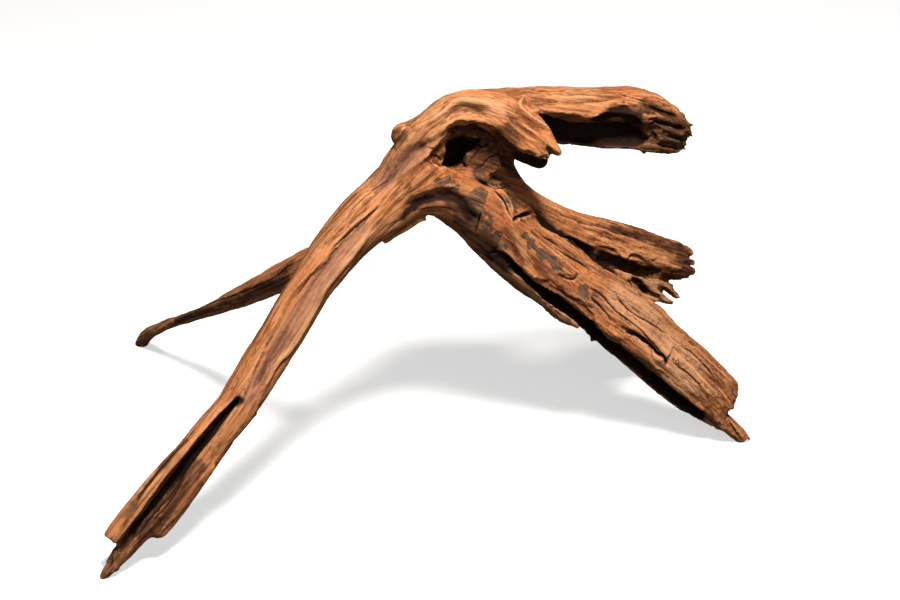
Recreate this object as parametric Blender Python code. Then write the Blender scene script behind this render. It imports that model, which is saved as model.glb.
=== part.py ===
"""A piece of driftwood: the crown of an old root, bleached and split, standing on three legs.

One solid. Every limb is a tube lofted through a few hand-placed stations; the tubes are fused into
one skin, the hollows are cut out of it, and the three feet are worn flat where they meet the floor.
"""

import math

import bmesh
import bpy
from mathutils import Vector

MM = 0.001

# The good side of the piece looks forwards (-Y) and up by this much. Stations are set out on it.
FACE_TILT = math.radians(28)
FACE = Vector((0, -math.cos(FACE_TILT), math.sin(FACE_TILT)))

RING_STEP = 5.0  # distance between rings of a tube, mm
RING_POINTS = 28  # points round a ring
END_TURNS = (30, 55, 75)  # how far round the end's quarter circle its rings lie, degrees
SKIN_CELL = 3.0  # cell of the fused skin, mm
SKIN_PASSES = 6  # times that the fused skin is smoothed
SKIN_SHARE = 0.125  # share of the fused skin's faces that the finished solid keeps
FLOOR_WIDTH = 2000.0  # side of the slab that wears the feet flat, mm
FLOOR_DEPTH = 40.0  # thickness of that slab, mm
WOOD_COLOUR = (0.42, 0.20, 0.10, 1)  # warm weathered brown
WOOD_ROUGHNESS = 0.8

# Each station is (x, y, z, half width across the good side, half thickness through it), in mm.
LIMBS = {
    # Front left leg: leaves the crown as a broad strap and ends in two strands round a split.
    "left_leg": [
        (-4, 7, 277, 29, 28),
        (-27, 2, 263, 28, 26),
        (-63, -19, 240, 23, 22),
        (-95, -46, 208, 20, 20),
        (-129, -77, 162, 18, 18),
        (-149, -95, 136, 18, 17),
        (-166, -113, 113, 17, 17),
        (-186, -131, 92, 15, 12),
    ],
    "left_leg_outer_strand": [
        (-161, -103, 127, 11, 13),
        (-195, -131, 95, 11, 14),
        (-221, -153, 74, 11, 13),
        (-247, -175, 51, 10, 11),
        (-267, -193, 33, 8, 9),
        (-271, -198, 28, 4, 5),
    ],
    "left_leg_inner_strand": [
        (-152, -103, 122, 9, 12),
        (-183, -129, 82, 10, 13),
        (-197, -147, 68, 11, 13),
        (-214, -165, 46, 9, 11),
        (-228, -179, 30, 7, 8),
    ],
    "left_foot": [
        (-185, -125, 84, 13, 9),
        (-215, -151, 56, 13, 9),
        (-238, -173, 38, 12, 9),
        (-258, -191, 19, 8, 8),
        (-272, -202, 3, 4, 6),
        (-275, -204, -3, 4, 5),
    ],
    # Thin back left leg.
    "back_leg": [
        (-74, -31, 229, 14, 12),
        (-115, -3, 190, 15, 13),
        (-151, 37, 152, 12, 12),
        (-194, 92, 105, 8, 10),
        (-240, 142, 62, 6, 8),
        (-282, 187, 21, 6, 7),
        (-294, 201, 2, 6, 6),
        (-297, 203, -3, 5, 6),
    ],
    # Crown: a brow above the hollow, ending in a drooping flap.
    "brow": [
        (-26, 1, 284, 17, 20),
        (-7, 5, 308, 17, 22),
        (14, 12, 330, 16, 22),
        (35, 15, 338, 15, 22),
        (58, 11, 334, 18, 20),
        (78, 2, 326, 20, 17),
        (90, -5, 319, 17, 14),
        (101, -9, 311, 12, 11),
        (108, -12, 308, 7, 8),
    ],
    # Fills the fold between the brow and the lower limb, left of the hollow.
    "cheek": [
        (-50, -8, 250, 22, 22),
        (-24, 3, 272, 23, 24),
        (-8, 8, 288, 19, 22),
        (2, 14, 298, 13, 18),
    ],
    "flap_underside": [
        (56, 25, 312, 10, 12),
        (78, 15, 298, 9, 12),
        (97, 9, 291, 8, 10),
    ],
    "brow_lining": [
        (8, 23, 313, 9, 10),
        (30, 27, 316, 10, 10),
        (56, 29, 309, 10, 10),
    ],
    # Heart of the crown, which the upper branch grows from.
    "crown_heart": [
        (-6, 25, 308, 15, 18),
        (26, 35, 316, 20, 20),
        (60, 43, 314, 18, 18),
        (86, 49, 306, 12, 13),
    ],
    "hollow_floor": [
        (-6, 25, 276, 18, 18),
        (22, 37, 276, 20, 18),
        (52, 41, 258, 20, 18),
    ],
    "crown_ridge": [
        (-22, 17, 316, 7, 8),
        (-4, 23, 321, 7, 8),
        (16, 27, 336, 7, 8),
        (38, 29, 341, 6, 9),
        (64, 31, 342, 6, 9),
    ],
    "knob": [
        (-16, 9, 321, 5, 5),
        (-23, 4, 321, 6, 6),
        (-28, 1, 319, 6, 6),
    ],
    # Upper branch: a half-rotted shell of wood.
    "top_branch": [
        (30, 29, 334, 12, 16),
        (62, 39, 330, 15, 19),
        (106, 47, 317, 26, 24),
        (150, 54, 312, 27, 25),
        (186, 60, 307, 28, 24),
        (204, 63, 300, 25, 20),
        (218, 66, 291, 21, 14),
        (228, 69, 284, 15, 6),
    ],
    # Lower limb: bridges from the left leg under the hollow and becomes the right leg.
    "right_leg": [
        (-52, -13, 245, 20, 20),
        (-24, 2, 259, 21, 24),
        (4, 9, 262, 22, 27),
        (30, 14, 251, 27, 28),
        (54, 19, 232, 32, 28),
        (77, 21, 206, 32, 26),
        (106, 22, 180, 31, 25),
        (135, 23, 154, 31, 24),
        (186, 25, 116, 30, 23),
        (225, 23, 78, 28, 21),
        (254, 20, 54, 26, 18),
        (271, 18, 42, 24, 10),
    ],
    "right_leg_lower_lip": [
        (47, 13, 206, 6, 10),
        (60, 17, 187, 6, 10),
        (81, 23, 165, 7, 10),
        (107, 27, 143, 7, 10),
        (137, 33, 121, 7, 10),
        (170, 36, 94, 8, 11),
        (204, 36, 63, 8, 12),
        (242, 29, 34, 8, 11),
        (266, 22, 16, 6, 8),
    ],
    "right_leg_end": [
        (208, 25, 114, 14, 14),
        (229, 23, 98, 15, 14),
        (250, 21, 78, 16, 14),
        (264, 19, 61, 16, 12),
        (272, 18, 49, 14, 6),
    ],
    "right_foot": [
        (240, 21, 48, 12, 12),
        (270, 17, 24, 9, 10),
        (290, 16, 6, 6, 8),
        (299, 16, -3, 4, 7),
    ],
    # Solid wood behind the hollow, down to the root of the back branch.
    "hollow_back": [
        (-24, 21, 280, 18, 16),
        (4, 41, 298, 22, 18),
        (28, 51, 300, 25, 20),
        (50, 55, 282, 22, 19),
        (64, 57, 256, 15, 18),
        (80, 59, 234, 12, 16),
        (92, 59, 224, 10, 12),
    ],
    "hollow_knot": [
        (32, 17, 270, 11, 12),
        (48, 15, 287, 14, 12),
        (60, 21, 299, 11, 11),
    ],
    # Branches that leave the back of the right leg.
    "back_branch": [
        (67, 35, 243, 20, 18),
        (99, 47, 221, 16, 17),
        (137, 65, 194, 17, 18),
        (176, 85, 169, 20, 18),
        (216, 105, 146, 19, 16),
        (240, 117, 134, 16, 11),
        (248, 122, 130, 13, 5),
    ],
    "branch_web": [
        (86, 39, 213, 14, 12),
        (118, 51, 188, 13, 12),
        (154, 63, 162, 12, 11),
    ],
    "long_prong": [
        (146, 47, 166, 12, 11),
        (176, 65, 150, 10, 9),
        (205, 85, 133, 8, 8),
        (229, 103, 113, 7, 6),
        (240, 109, 104, 4, 4),
    ],
    "short_prong": [
        (144, 45, 162, 11, 10),
        (174, 59, 142, 7, 8),
        (204, 79, 121, 5, 6),
        (230, 97, 101, 3, 4),
    ],
}

HOLLOWS = {
    # Rotted-out trough along the front and the underside of the upper branch.
    "top_branch_trough": [
        (92, 17, 309, 12, 20),
        (108, 23, 307, 17, 22),
        (155, 31, 304, 18, 22),
        (181, 35, 303, 16, 20),
        (196, 39, 300, 9, 15),
    ],
    # Hollow in the crotch of the crown.
    "crown_hollow": [
        (8, 1, 295, 8, 20),
        (22, 13, 298, 13, 28),
        (32, 23, 300, 10, 22),
    ],
    # Split down the lower half of the left leg.
    "left_leg_split": [
        (-158, -113, 128, 2, 8),
        (-178, -130, 110, 4, 12),
        (-196, -143, 92, 5, 13),
        (-229, -168, 58, 6, 13),
        (-260, -193, 26, 6, 9),
    ],
    # Long channel under the lip of the right leg.
    "right_leg_channel": [
        (61, 7, 199, 3, 10),
        (99, 7, 166, 5, 15),
        (132, 6, 140, 6, 17),
        (163, 7, 110, 8, 18),
        (194, 9, 79, 8, 17),
        (232, 9, 46, 8, 15),
        (257, 8, 27, 5, 10),
    ],
}


def between(stations, piece, t):
    """The station a share t along one piece of a smooth curve through all of them."""
    last = len(stations) - 1
    picked = [stations[min(max(piece + step, 0), last)] for step in (-1, 0, 1, 2)]
    weights = (
        (-t + 2 * t**2 - t**3) / 2,
        (2 - 5 * t**2 + 3 * t**3) / 2,
        (t + 4 * t**2 - 3 * t**3) / 2,
        (t**3 - t**2) / 2,
    )
    return [sum(w * p[i] for w, p in zip(weights, picked)) for i in range(5)]


def resampled(stations):
    """Stations close enough together for the tube's rings."""
    rows = []
    for piece in range(len(stations) - 1):
        span = (Vector(stations[piece + 1][:3]) - Vector(stations[piece][:3])).length
        steps = max(1, round(span / RING_STEP))
        rows += [between(stations, piece, step / steps) for step in range(steps)]
    return rows + [list(stations[-1])]


def add_ring(bm, centre, along, across, deep):
    """An oval ring round the tube's line, its long way across the good side."""
    side = FACE.cross(along).normalized()
    out = along.cross(side)
    ring = []
    for step in range(RING_POINTS):
        angle = math.tau * step / RING_POINTS
        offset = side * (across * math.sin(angle)) + out * (deep * math.cos(angle))
        ring.append(bm.verts.new((centre + offset) * MM))
    return ring


def cap_rings(bm, centre, along, across, deep):
    """Rings that round off the tube's end beyond centre."""
    reach = min(across, deep)
    rings = []
    for turn in END_TURNS:
        angle = math.radians(turn)
        shrink = math.cos(angle)
        middle = centre + along * (reach * math.sin(angle))
        rings.append(add_ring(bm, middle, along, across * shrink, deep * shrink))
    return rings


def add_tube(bm, stations):
    """A closed tube through the stations, rounded at both ends."""
    rows = resampled(stations)
    points = [Vector(row[:3]) for row in rows]
    rings = []
    for i, (point, row) in enumerate(zip(points, rows)):
        ahead = points[min(i + 1, len(points) - 1)]
        behind = points[max(i - 1, 0)]
        along = (ahead - behind).normalized()
        if i == 0:
            start = cap_rings(bm, point, -along, row[3], row[4])
            rings += [ring[:1] + ring[:0:-1] for ring in reversed(start)]
        rings.append(add_ring(bm, point, along, row[3], row[4]))
        if i == len(rows) - 1:
            rings += cap_rings(bm, point, along, row[3], row[4])
    for first, second in zip(rings, rings[1:]):
        for a in range(RING_POINTS):
            b = (a + 1) % RING_POINTS
            bm.faces.new((first[a], first[b], second[b], second[a]))
    bm.faces.new(reversed(rings[0]))
    bm.faces.new(rings[-1])


def object_of_tubes(name, tubes):
    """One object holding a closed tube for each list of stations."""
    bm = bmesh.new()
    for stations in tubes:
        add_tube(bm, stations)
    bmesh.ops.recalc_face_normals(bm, faces=bm.faces)
    mesh = bpy.data.meshes.new(name)
    bm.to_mesh(mesh)
    bm.free()
    made = bpy.data.objects.new(name, mesh)
    bpy.context.scene.collection.objects.link(made)
    return made


def as_cutter(cutter):
    """Marks an object as a helper that only cuts."""
    cutter.hide_render = True
    cutter.display_type = "WIRE"
    return cutter


def cut(wood, cutter):
    """Takes the cutter's shape out of the wood."""
    boolean = wood.modifiers.new(cutter.name, "BOOLEAN")
    boolean.operation = "DIFFERENCE"
    boolean.solver = "EXACT"
    boolean.object = as_cutter(cutter)


def fuse(wood):
    """Makes one smooth skin of the overlapping tubes."""
    skin = wood.modifiers.new("skin", "REMESH")
    skin.mode = "VOXEL"
    skin.voxel_size = SKIN_CELL * MM
    soften = wood.modifiers.new("soften", "SMOOTH")
    soften.factor = 0.5
    soften.iterations = SKIN_PASSES


def thin_out(wood):
    """Keeps only the faces that the shape needs."""
    decimate = wood.modifiers.new("thin_out", "DECIMATE")
    decimate.ratio = SKIN_SHARE


def floor_slab():
    """A slab whose top is the floor, at height zero."""
    bm = bmesh.new()
    bmesh.ops.create_cube(bm, size=1)
    mesh = bpy.data.meshes.new("floor_slab")
    bm.to_mesh(mesh)
    bm.free()
    slab = bpy.data.objects.new("floor_slab", mesh)
    slab.scale = (FLOOR_WIDTH * MM, FLOOR_WIDTH * MM, FLOOR_DEPTH * MM)
    slab.location.z = -FLOOR_DEPTH * MM / 2
    bpy.context.scene.collection.objects.link(slab)
    return slab


def wood_material():
    """Weathered wood, warm brown and dull."""
    material = bpy.data.materials.new("driftwood")
    material.use_nodes = True
    shader = material.node_tree.nodes["Principled BSDF"]
    shader.inputs["Base Color"].default_value = WOOD_COLOUR
    shader.inputs["Roughness"].default_value = WOOD_ROUGHNESS
    shader.inputs["Metallic"].default_value = 0
    return material


def put_origin_under_middle(wood):
    """Moves the wood sideways so that the origin is under the middle of its box, on the floor."""
    bpy.context.view_layer.update()
    shape = wood.evaluated_get(bpy.context.evaluated_depsgraph_get())
    corners = [Vector(corner) for corner in shape.bound_box]
    low = Vector(min(c[i] for c in corners) for i in range(3))
    high = Vector(max(c[i] for c in corners) for i in range(3))
    middle = (low + high) / 2
    root = bpy.data.objects.new("middle", None)
    bpy.context.scene.collection.objects.link(root)
    for thing in [o for o in bpy.data.objects if o.type == "MESH"]:
        thing.parent = root
    root.location = (-middle.x, -middle.y, 0)


def main():
    for thing in list(bpy.data.objects):
        bpy.data.objects.remove(thing)
    wood = object_of_tubes("driftwood", LIMBS.values())
    wood.data.materials.append(wood_material())
    fuse(wood)
    for name, stations in HOLLOWS.items():
        cut(wood, object_of_tubes(name, [stations]))
    thin_out(wood)
    cut(wood, floor_slab())
    put_origin_under_middle(wood)


main()
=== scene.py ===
import math

import bmesh
import bpy
import numpy as np
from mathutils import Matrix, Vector
from mathutils.bvhtree import BVHTree


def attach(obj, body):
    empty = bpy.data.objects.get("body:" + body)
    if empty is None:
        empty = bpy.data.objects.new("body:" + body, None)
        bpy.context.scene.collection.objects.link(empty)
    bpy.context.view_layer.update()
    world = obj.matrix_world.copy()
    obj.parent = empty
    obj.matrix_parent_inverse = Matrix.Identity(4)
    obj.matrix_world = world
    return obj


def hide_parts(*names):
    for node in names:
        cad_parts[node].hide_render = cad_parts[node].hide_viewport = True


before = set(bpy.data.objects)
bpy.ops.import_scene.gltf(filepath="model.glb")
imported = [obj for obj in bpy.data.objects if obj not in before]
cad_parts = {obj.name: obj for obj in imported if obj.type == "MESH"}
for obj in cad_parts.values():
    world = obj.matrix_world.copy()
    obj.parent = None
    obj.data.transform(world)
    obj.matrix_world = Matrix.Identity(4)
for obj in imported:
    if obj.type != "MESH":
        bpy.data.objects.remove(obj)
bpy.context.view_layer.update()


# ---------------------------------------------------------------------------------------------
# The solid wood: one old root, grown as one piece, so everything here ends up in one closed skin.
# The frame's plain body is rounded off, split where the wood has parted right through, and given
# its knot and its thin blades before the whole is fused.
# ---------------------------------------------------------------------------------------------

MM = 0.001
FACE_TILT = math.radians(28)  # the good side looks forwards and up by this much
FACE = Vector((0, -math.cos(FACE_TILT), math.sin(FACE_TILT)))
RING_POINTS = 12  # points round a blade
FIRST_CELL = 1.4  # cell of the first fused skin, mm

# Each station is (x, y, z, half width across the good side, half thickness through it), in mm.
BLADES = {
    # Knot on the right of the hollow, and the folds of wood that close in its left and its top.
    "knot": [(32, 11, 287, 4, 3), (39, 11, 292, 10, 7), (47, 12, 295, 13, 8), (55, 13, 294, 11, 7),
             (62, 12, 289, 4, 3)],
    "left_of_hollow": [(6, 5, 282, 2, 3), (7, 4, 294, 6, 9), (9, 6, 305, 6, 9), (14, 10, 316, 2, 3)],
    "under_the_brow": [(12, 12, 313, 3, 4), (18, 12, 316, 6, 9), (28, 14, 319, 7, 9),
                       (38, 14, 320, 7, 9), (50, 12, 317, 7, 9), (60, 11, 311, 4, 5)],
    # Splinter that hangs below the flap, and the hooked shred under the arch.
    "flap_splinter": [(68, 2, 300, 3, 2), (77, -6, 294, 3, 2), (88, -12, 284, 1, 1)],
    "arch_hook": [(-40, -18, 226, 3, 4), (-22, -12, 236, 4, 4), (-8, -8, 243, 3, 3), (-2, -6, 240, 1, 1)],

    # Floor of the rotted split near the left foot.
    "foot_floor": [(-200, -131, 80, 2, 2), (-225, -148, 56, 6, 4), (-240, -162, 40, 8, 4),
                   (-249, -170, 31, 7, 4), (-258, -180, 20, 2, 2)],
}

# Splits that go right through the wood, given in the same way.
SPLITS = {
    "between_back_branch_and_prongs": [(217, 98, 130, 1, 40), (225, 96, 128, 3, 45), (235, 94, 123, 6, 45),
                                       (250, 91, 117, 11, 45)],
    "flap_notch": [(100, -14, 315, 1, 10), (103, -16, 311, 2, 12), (109, -19, 304, 5, 12)],
    "below_channel_lip": [(126, 18, 124, 1, 12), (132, 14, 121, 4, 12), (139, 12, 117, 7, 12),
                          (146, 10, 113, 7, 12), (155, 7, 107, 6, 12), (163, 3, 100, 1, 12)],
    "foot_strand_end": [(-290, -195, 40, 4, 16), (-274, -198, 33, 5.5, 16), (-266, -201, 29, 4, 16),
                        (-263, -202, 27, 0.5, 16)],
    "spike_notch": [(289, 11, 9, 0.5, 14), (294, 12, 3, 1.5, 14), (299, 13, -2, 3, 14)],
    "between_prongs": [(212, 95, 122, 0.5, 20), (222, 91, 117, 2.6, 22), (232, 88, 112, 2.8, 22),
                       (243, 85, 106, 3.4, 22)],
    "back_branch_top_corner": [(222, 134, 171, 0.5, 22), (233, 130, 164, 5, 22), (245, 126, 156, 6, 22),
                               (254, 121, 147, 6, 22), (260, 117, 139, 3, 22)],
    "back_branch_upper_tear": [(236, 110, 148, 0.5, 20), (246, 115, 143, 1.5, 20), (258, 119, 139, 2.5, 20)],
    "back_branch_middle_tear": [(238, 109, 138, 0.5, 20), (247, 113, 134, 1.5, 20), (258, 117, 129, 2.5, 20)],
    "back_branch_lower_tear": [(236, 106, 130, 0.5, 20), (245, 110, 126, 1.8, 20), (256, 114, 121, 3, 20)],
}


def blade(bm, stations):
    """A closed flat splinter through the stations, pointed at both ends."""
    points = [Vector(station[:3]) for station in stations]
    rings = []
    for i, (point, station) in enumerate(zip(points, stations)):
        ahead = points[min(i + 1, len(points) - 1)]
        behind = points[max(i - 1, 0)]
        along = (ahead - behind).normalized()
        side = FACE.cross(along).normalized()
        out = along.cross(side)
        ring = []
        for step in range(RING_POINTS):
            angle = math.tau * step / RING_POINTS
            offset = side * (station[3] * math.sin(angle)) + out * (station[4] * math.cos(angle))
            ring.append(bm.verts.new((point + offset) * MM))
        rings.append(ring)
    for first, second in zip(rings, rings[1:]):
        for a in range(RING_POINTS):
            b = (a + 1) % RING_POINTS
            bm.faces.new((first[a], first[b], second[b], second[a]))
    bm.faces.new(reversed(rings[0]))
    bm.faces.new(rings[-1])


def settle(piece):
    """Makes the piece's mesh what its modifiers show."""
    shape = piece.evaluated_get(bpy.context.evaluated_depsgraph_get())
    mesh = bpy.data.meshes.new_from_object(shape)
    piece.modifiers.clear()
    rough = piece.data
    piece.data = mesh
    bpy.data.meshes.remove(rough)


def fuse(piece, cell):
    """Makes one closed skin of everything in the piece, with cells of this size in mm."""
    skin = piece.modifiers.new("skin", "REMESH")
    skin.mode = "VOXEL"
    skin.voxel_size = cell * MM
    settle(piece)


def rounded_body(name):
    """The frame's plain body, merged and rounded off."""
    bm = bmesh.new()
    bm.from_mesh(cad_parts["driftwood"].data)
    bmesh.ops.remove_doubles(bm, verts=bm.verts, dist=0.01 * MM)
    mesh = bpy.data.meshes.new(name)
    bm.to_mesh(mesh)
    bm.free()
    body = bpy.data.objects.new(name, mesh)
    bpy.context.scene.collection.objects.link(body)
    round_off = body.modifiers.new("round_off", "SUBSURF")
    round_off.levels = 1
    round_off.render_levels = 1
    settle(body)
    return body


def cut_splits(piece):
    """Cuts the splits right through the piece."""
    bm = bmesh.new()
    for stations in SPLITS.values():
        blade(bm, stations)
    bmesh.ops.recalc_face_normals(bm, faces=bm.faces)
    splits = bpy.data.objects.new("splits", bpy.data.meshes.new("splits"))
    bm.to_mesh(splits.data)
    bm.free()
    bpy.context.scene.collection.objects.link(splits)
    split = piece.modifiers.new("split", "BOOLEAN")
    split.operation = "DIFFERENCE"
    split.object = splits
    settle(piece)
    bpy.data.objects.remove(splits)


def add_blades(piece):
    """Adds the blades to the piece's mesh, for the fused skin to take in."""
    bm = bmesh.new()
    bm.from_mesh(piece.data)
    for stations in BLADES.values():
        blade(bm, stations)
    bm.to_mesh(piece.data)
    bm.free()


wood = rounded_body("weathered_driftwood")
cut_splits(wood)
add_blades(wood)
fuse(wood, FIRST_CELL)


def read_points(piece):
    """The piece's points in mm, and which way its surface faces there."""
    count = len(piece.data.vertices)
    points = np.empty(count * 3, np.float32)
    facing = np.empty(count * 3, np.float32)
    piece.data.vertices.foreach_get("co", points)
    piece.data.vertex_normals.foreach_get("vector", facing)
    return points.reshape(-1, 3) / MM, facing.reshape(-1, 3)


def write_points(piece, points):
    """Moves the piece's points to these places, in mm."""
    piece.data.vertices.foreach_set("co", (points * MM).astype(np.float32).ravel())
    piece.data.update()


# ---------------------------------------------------------------------------------------------
# The run of the grain. Fibres follow each limb from its tip into the crown and out again.
# The carving and the colour both follow them, so they are worked out once, on a coarse lattice.
# ---------------------------------------------------------------------------------------------

GRAIN_RUNS = {
    "left_foot_over_the_brow": [
        (-275, -204, -3), (-238, -173, 38), (-195, -140, 80), (-166, -113, 113), (-129, -77, 162),
        (-95, -46, 208), (-63, -19, 240), (-26, 1, 284), (-7, 5, 308), (14, 12, 330), (35, 15, 338),
        (58, 11, 334), (78, 2, 326), (90, -5, 319), (108, -12, 308),
    ],
    "under_the_hollow_to_the_right_foot": [
        (-95, -46, 208), (-63, -19, 240), (-24, 2, 259), (4, 9, 262), (30, 14, 251), (54, 19, 232),
        (77, 21, 206), (106, 22, 180), (135, 23, 154), (186, 25, 116), (225, 23, 78), (254, 20, 54),
        (299, 16, -3),
    ],
    "upper_branch": [
        (-24, 17, 316), (16, 27, 336), (62, 35, 338), (106, 47, 322), (150, 54, 312), (204, 63, 302),
        (228, 69, 292),
    ],
    "back_leg": [
        (-297, 203, -3), (-240, 142, 62), (-194, 92, 105), (-151, 37, 152), (-115, -3, 190),
        (-74, -31, 229),
    ],
    "back_branch": [
        (30, 30, 262), (67, 35, 243), (99, 47, 221), (137, 65, 194), (176, 85, 169), (216, 105, 146),
        (248, 122, 130),
    ],
    "prongs": [(144, 45, 165), (176, 62, 147), (205, 83, 128), (238, 108, 103)],
}
RUN_STEP = 6.0  # distance between the places where a run's direction is noted, mm
LATTICE_CELL = 11.0  # cell of the lattice that holds the grain, mm
LATTICE_BATCH = 20000  # lattice points that are worked out at one time
GRAIN_REACH = 7.0  # how quickly the nearest run takes over from the others, mm


def grain_marks():
    """Places along all the runs, and the direction of the grain at each."""
    places = []
    directions = []
    for run in GRAIN_RUNS.values():
        for start, end in zip(run, run[1:]):
            start = np.array(start, np.float32)
            end = np.array(end, np.float32)
            span = np.linalg.norm(end - start)
            for t in np.arange(0, 1, RUN_STEP / span):
                places.append(start + (end - start) * t)
                directions.append((end - start) / span)
    return np.array(places), np.array(directions)


def grain_lattice(low, high):
    """The direction of the grain at each point of a lattice between two corners."""
    counts = np.ceil((high - low) / LATTICE_CELL).astype(int) + 2
    axes = [low[i] + LATTICE_CELL * np.arange(counts[i]) for i in range(3)]
    nodes = np.stack(np.meshgrid(*axes, indexing="ij"), -1).reshape(-1, 3).astype(np.float32)
    places, directions = grain_marks()
    lattice = np.empty_like(nodes)
    for start in range(0, len(nodes), LATTICE_BATCH):
        part = nodes[start:start + LATTICE_BATCH]
        gap = np.sqrt(((part[:, None] - places[None]) ** 2).sum(-1))
        weight = np.exp(-(gap - gap.min(1, keepdims=True)) / GRAIN_REACH)
        lattice[start:start + LATTICE_BATCH] = weight @ directions
    lattice /= np.linalg.norm(lattice, axis=1, keepdims=True) + 1e-9
    return lattice.reshape(*counts, 3)


def corners_round(places, counts, wraps):
    """For each of the 8 lattice points round each place: its number, and its share."""
    base = np.floor(places).astype(np.int32)
    part = (places - base).astype(np.float32)
    ends = []
    shares = []
    for i in range(3):
        pair = (base[:, i], base[:, i] + 1)
        ends.append([p % counts[i] if wraps else np.clip(p, 0, counts[i] - 1) for p in pair])
        shares.append((1 - part[:, i], part[:, i]))
    for a, b, c in np.ndindex(2, 2, 2):
        number = (ends[0][a] * counts[1] + ends[1][b]) * counts[2] + ends[2][c]
        yield number, shares[0][a] * shares[1][b] * shares[2][c]


points, facing = read_points(wood)
lattice_low = points.min(0) - 2 * LATTICE_CELL
lattice = grain_lattice(lattice_low, points.max(0) + 2 * LATTICE_CELL)


def grain_at(points):
    """The direction of the grain at each point."""
    flat = lattice.reshape(-1, 3)
    found = np.zeros((len(points), 3), np.float32)
    for number, share in corners_round((points - lattice_low) / LATTICE_CELL, lattice.shape, False):
        found += share[:, None] * flat[number]
    return found


NOISE_CELLS = 64  # cells along each side of a block of random values


def lumps(points, size, seed):
    """Smooth random values between -1 and 1, with lumps of about this size in mm."""
    table = np.random.default_rng(seed).uniform(-1, 1, NOISE_CELLS ** 3).astype(np.float32)
    found = np.zeros(len(points), np.float32)
    for number, share in corners_round(points / np.float32(size), (NOISE_CELLS,) * 3, True):
        found += share * table[number]
    return found


def fibres(points, sizes, step, steps, seed, curved):
    """Random values drawn out along the grain, one set for each size of fibre in mm."""
    totals = [lumps(points, size, seed + i) for i, size in enumerate(sizes)]
    ahead = grain_at(points)
    for way in (1, -1):
        at = points.copy()
        turned = ahead
        for number in range(steps):
            if curved and number:
                turned = grain_at(at)
            at = at + turned * (way * step)
            for i, size in enumerate(sizes):
                totals[i] += lumps(at, size, seed + i)
    return [total / total.std() for total in totals]


# ---------------------------------------------------------------------------------------------
# Marks on the good side. Each is drawn as a line of (right, up) points in mm on a board that
# faces the good side, and pressed straight back onto the wood's skin.
# ---------------------------------------------------------------------------------------------

BOARD_RIGHT = np.array((1, 0, 0), np.float32)
BOARD_UP = np.array((0, math.sin(FACE_TILT), math.cos(FACE_TILT)), np.float32)
BOARD_OUT = np.array(FACE, np.float32)
BOARD_STAND_OFF = 600.0  # how far in front of the wood the board stands, mm
LINE_STEP = 2.5  # distance between the points pressed onto the wood, mm


def skin_of(piece):
    """The piece's skin, for finding places on it, in mm."""
    points, _ = read_points(piece)
    return BVHTree.FromPolygons(points.tolist(), [tuple(face.vertices) for face in piece.data.polygons])


def smooth_line(marks):
    """Closely spaced points of a smooth curve through the marks."""
    marks = np.array(marks, np.float32)
    padded = np.vstack((2 * marks[0] - marks[1], marks, 2 * marks[-1] - marks[-2]))
    line = []
    for i in range(1, len(padded) - 2):
        p, q, r, s = padded[i - 1:i + 3]
        steps = max(1, round(float(np.linalg.norm(r - q)) / LINE_STEP))
        for t in np.arange(steps) / steps:
            line.append((2 * q + (r - p) * t + (2 * p - 5 * q + 4 * r - s) * t**2
                         + (3 * q - p - 3 * r + s) * t**3) / 2)
    return line + [marks[-1]]


def pressed(skin, marks, side=1):
    """The line through the marks, pressed onto the skin from the front, or from behind with side -1."""
    found = []
    for right, up in smooth_line(marks):
        start = BOARD_RIGHT * right + BOARD_UP * up + BOARD_OUT * (BOARD_STAND_OFF * side)
        hit = skin.ray_cast(Vector(start.tolist()), Vector((BOARD_OUT * -side).tolist()))[0]
        if hit is not None:
            found.append(hit)
    return np.array(found, np.float32)


def near_line(points, line, reach):
    """Points within reach of a line: their numbers, distance, distance to its left, place along it."""
    low = line.min(0) - reach
    high = line.max(0) + reach
    near = np.nonzero(np.all((points > low) & (points < high), axis=1))[0]
    starts, ends = line[:-1], line[1:]
    spans = ends - starts
    lengths = np.linalg.norm(spans, axis=1) + 1e-6
    lefts = np.cross(BOARD_OUT, spans / lengths[:, None])
    lefts /= np.linalg.norm(lefts, axis=1, keepdims=True) + 1e-6
    runs = np.concatenate(((0,), np.cumsum(lengths)))
    best = np.full(len(near), 1e9, np.float32)
    left = np.zeros(len(near), np.float32)
    along = np.zeros(len(near), np.float32)
    at = points[near]
    for i in range(len(spans)):
        offset = at - starts[i]
        share = np.clip(offset @ spans[i] / lengths[i]**2, 0, 1)
        gap = offset - share[:, None] * spans[i]
        distance = np.linalg.norm(gap, axis=1)
        closer = distance < best
        best[closer] = distance[closer]
        left[closer] = (gap @ lefts[i])[closer]
        along[closer] = runs[i] + share[closer] * lengths[i]
    kept = best < reach
    return near[kept], best[kept], left[kept], along[kept], runs[-1]


def tapered(along, length, taper):
    """1 along a line, running out to 0 over the taper at both ends."""
    return np.clip(np.minimum(along, length - along) / taper, 0, 1)


def groove(relief, points, line, half_width, depth, taper=12.0):
    """Hollows the skin along a line, or raises it where the depth is below zero."""
    near, gap, _, along, length = near_line(points, line, half_width)
    relief[near] -= depth * (1 - (gap / half_width)**2)**2 * tapered(along, length, taper)


def ledge(relief, points, line, height, fade, taper=8.0):
    """Raises the skin on the left of a line, sharply at the line and fading away from it."""
    near, gap, left, along, length = near_line(points, line, fade * 3)
    step = np.clip(left / 1.2 + 0.5, 0, 1)
    shape = step * np.exp(-np.abs(left) / fade) - 0.5 * (1 - step) * np.exp(-np.abs(left) / (fade / 3))
    relief[near] += height * shape * tapered(along, length, taper)


# ---------------------------------------------------------------------------------------------
# The broad carving. Water and rot have worn the wood into hollows, ridges and channels, lifted
# flakes off it and torn its ends. Every mark is cut into the one skin, and wanders a little off
# its line, so that no edge runs straight.
# ---------------------------------------------------------------------------------------------

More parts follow.
